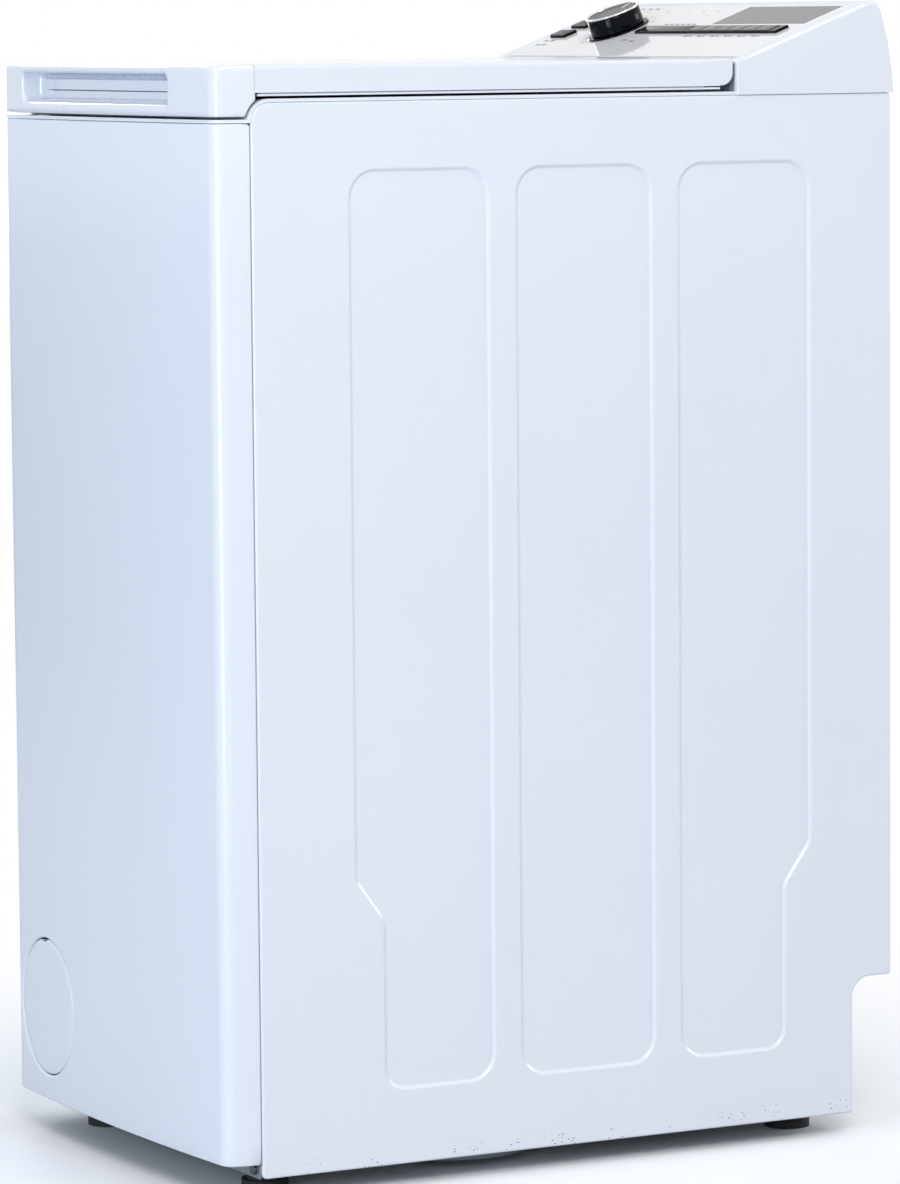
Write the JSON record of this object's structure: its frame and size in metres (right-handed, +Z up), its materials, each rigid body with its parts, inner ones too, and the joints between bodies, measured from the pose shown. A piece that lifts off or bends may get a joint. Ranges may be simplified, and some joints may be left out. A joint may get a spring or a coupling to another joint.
{
  "type": "top load washing machine",
  "caption": "Narrow free-standing top load washing machine with a hinged lid, raised rear control console, pressed side panels and a drum on a cross axis inside.",
  "frame": {"origin": "on the floor, under the middle of the machine's width and depth", "axes": "+X to the right seen from the front, +Y from the front to the back, +Z up; the front with the hand recess faces -Y"},
  "size_m": [0.4, 0.6, 0.9025],
  "materials": {
    "white_paint": "white enamel over steel sheet",
    "zinc_steel": "zinc coated steel",
    "screw_steel": "plated screws",
    "tray_plastic": "pale grey moulding",
    "cap_plastic": "dark moulded plastic",
    "foot_rubber": "black rubber",
    "white_plastic": "white glossy moulding",
    "fascia_gloss": "white piano gloss",
    "grey_plastic": "grey moulding",
    "tray_blue": "pale blue grey moulding",
    "black_gloss": "black glossy moulding",
    "knob_trim": "bright ring round a dark face",
    "smoked_glass": "smoked window",
    "board": "green circuit board",
    "stainless": "stainless sheet",
    "cast_alloy": "cast alloy",
    "lifter_plastic": "light moulded plastic",
    "tub_plastic": "filled polypropylene",
    "bearing_steel": "steel",
    "soft_rubber": "grey rubber",
    "concrete": "cast concrete",
    "motor_metal": "dark painted casting"
  },
  "bodies": {
    "cabinet": {"side_panel_right": "white_paint", "side_panel_left": "white_paint", "front_panel": "white_paint", "rear_panel": "zinc_steel", "crossbars": "zinc_steel", "cabinet_screws": "screw_steel", "base_tray": "tray_plastic", "transport_hole_caps": "cap_plastic", "cable_gland": "cap_plastic", "rear_feet": "foot_rubber", "top_frame": "white_plastic", "console_housing": "white_plastic", "console_fascia": "fascia_gloss", "lid_lock": "grey_plastic", "drain_pump": "grey_plastic", "water_valve": "grey_plastic", "knob_bezel": "black_gloss", "key_bar": "black_gloss", "display_window": "smoked_glass", "control_board": "board", "heater": "stainless", "tub_shell": "tub_plastic", "tub_sides": "tub_plastic", "drum_bearings": "bearing_steel", "suspension_springs": "bearing_steel", "dampers": "bearing_steel", "tub_bellows": "soft_rubber", "drive_belt": "soft_rubber", "sump_hose": "soft_rubber", "counterweights": "concrete", "motor_body": "motor_metal"},
    "lid": {"lid_shell": "white_plastic", "lid_grip": "white_plastic", "lid_liner": "white_plastic", "lid_hinge_pins": "stainless"},
    "detergent_tray": {"detergent_tray": "tray_blue"},
    "program_knob": {"program_knob": "black_gloss", "knob_cap": "knob_trim"},
    "start_button": {"start_button": "black_gloss"},
    "power_button": {"power_button": "black_gloss"},
    "drum": {"drum_shell": "stainless", "drum_ends": "stainless", "drum_shafts": "cast_alloy", "drum_lifters": "lifter_plastic", "drum_pulley": "cast_alloy", "flap_pins": "stainless"},
    "flap_front": {"drum_flap_front": "stainless"},
    "flap_rear": {"drum_flap_rear": "stainless"},
    "flap_latch": {"flap_latch": "lifter_plastic"},
    "motor_rotor": {"motor_rotor": "bearing_steel"},
    "filter_cover": {"filter_cover": "white_plastic"},
    "drain_filter": {"drain_filter": "lifter_plastic"},
    "foot_front_right": {"foot_front_right": "foot_rubber"},
    "foot_front_left": {"foot_front_left": "foot_rubber"},
    "option_key_1": {"option_key_1": "black_gloss"},
    "option_key_2": {"option_key_2": "black_gloss"},
    "option_key_3": {"option_key_3": "black_gloss"},
    "option_key_4": {"option_key_4": "black_gloss"},
    "option_key_5": {"option_key_5": "black_gloss"},
    "option_key_6": {"option_key_6": "black_gloss"}
  },
  "joints": [
    {"name": "lid_hinge", "type": "hinge", "parent": "cabinet", "child": "lid", "pos_m": [0, 0.1395, 0.846], "axis": [-1, 0, 0], "range_deg": [0, 95]},
    {"name": "tray_slide", "type": "slide", "parent": "lid", "child": "detergent_tray", "axis": [0, -1, 0], "range_m": [0, 0.05]},
    {"name": "knob_turn", "type": "hinge", "parent": "cabinet", "child": "program_knob", "pos_m": [-0.095, 0.21632, 0.87812], "axis": [0, -0.3502, 0.9367], "continuous": true},
    {"name": "start_button_press", "type": "slide", "parent": "cabinet", "child": "start_button", "axis": [0, 0.3502, -0.9367], "range_m": [0, 0.0012], "stiffness_N_per_m": 400, "springref_m": -0.0005},
    {"name": "power_button_press", "type": "slide", "parent": "cabinet", "child": "power_button", "axis": [0, 0.3502, -0.9367], "range_m": [0, 0.0012], "stiffness_N_per_m": 400, "springref_m": -0.0005},
    {"name": "option_key_1_press", "type": "slide", "parent": "cabinet", "child": "option_key_1", "axis": [0, 0.3502, -0.9367], "range_m": [0, 0.0008], "stiffness_N_per_m": 400, "springref_m": -0.0005},
    {"name": "option_key_2_press", "type": "slide", "parent": "cabinet", "child": "option_key_2", "axis": [0, 0.3502, -0.9367], "range_m": [0, 0.0008], "stiffness_N_per_m": 400, "springref_m": -0.0005},
    {"name": "option_key_3_press", "type": "slide", "parent": "cabinet", "child": "option_key_3", "axis": [0, 0.3502, -0.9367], "range_m": [0, 0.0008], "stiffness_N_per_m": 400, "springref_m": -0.0005},
    {"name": "option_key_4_press", "type": "slide", "parent": "cabinet", "child": "option_key_4", "axis": [0, 0.3502, -0.9367], "range_m": [0, 0.0008], "stiffness_N_per_m": 400, "springref_m": -0.0005},
    {"name": "option_key_5_press", "type": "slide", "parent": "cabinet", "child": "option_key_5", "axis": [0, 0.3502, -0.9367], "range_m": [0, 0.0008], "stiffness_N_per_m": 400, "springref_m": -0.0005},
    {"name": "option_key_6_press", "type": "slide", "parent": "cabinet", "child": "option_key_6", "axis": [0, 0.3502, -0.9367], "range_m": [0, 0.0008], "stiffness_N_per_m": 400, "springref_m": -0.0005},
    {"name": "drum_spin", "type": "hinge", "parent": "cabinet", "child": "drum", "pos_m": [0, -0.02, 0.47], "axis": [1, 0, 0], "range_deg": [-360, 360]},
    {"name": "flap_front_hinge", "type": "hinge", "parent": "drum", "child": "flap_front", "pos_m": [0, -0.145, 0.66485], "axis": [1, 0, 0], "range_deg": [0, 80]},
    {"name": "flap_rear_hinge", "type": "hinge", "parent": "drum", "child": "flap_rear", "pos_m": [0, 0.105, 0.66485], "axis": [-1, 0, 0], "range_deg": [0, 80]},
    {"name": "flap_latch_press", "type": "slide", "parent": "flap_front", "child": "flap_latch", "axis": [0, 0.1042, -0.9946], "range_m": [0, 0.003], "stiffness_N_per_m": 400, "springref_m": -0.0005},
    {"name": "motor_spin", "type": "hinge", "parent": "cabinet", "child": "motor_rotor", "pos_m": [0, 0.09, 0.13], "axis": [1, 0, 0], "range_deg": [-5040, 5040]},
    {"name": "filter_cover_pull", "type": "slide", "parent": "cabinet", "child": "filter_cover", "axis": [0, -1, 0], "range_m": [0, 0.04]},
    {"name": "drain_filter_turn", "type": "hinge", "parent": "cabinet", "child": "drain_filter", "pos_m": [-0.127, 0, 0.1035], "axis": [0, -1, 0], "range_deg": [0, 360]},
    {"name": "foot_front_right_turn", "type": "hinge", "parent": "cabinet", "child": "foot_front_right", "pos_m": [0.142, -0.236, 0], "axis": [0, 0, 1], "continuous": true},
    {"name": "foot_front_left_turn", "type": "hinge", "parent": "cabinet", "child": "foot_front_left", "pos_m": [-0.142, -0.236, 0], "axis": [0, 0, 1], "continuous": true}
  ],
  "couplings": [
    {"joint": "motor_spin", "follows": "drum_spin", "ratio": 14}
  ]
}
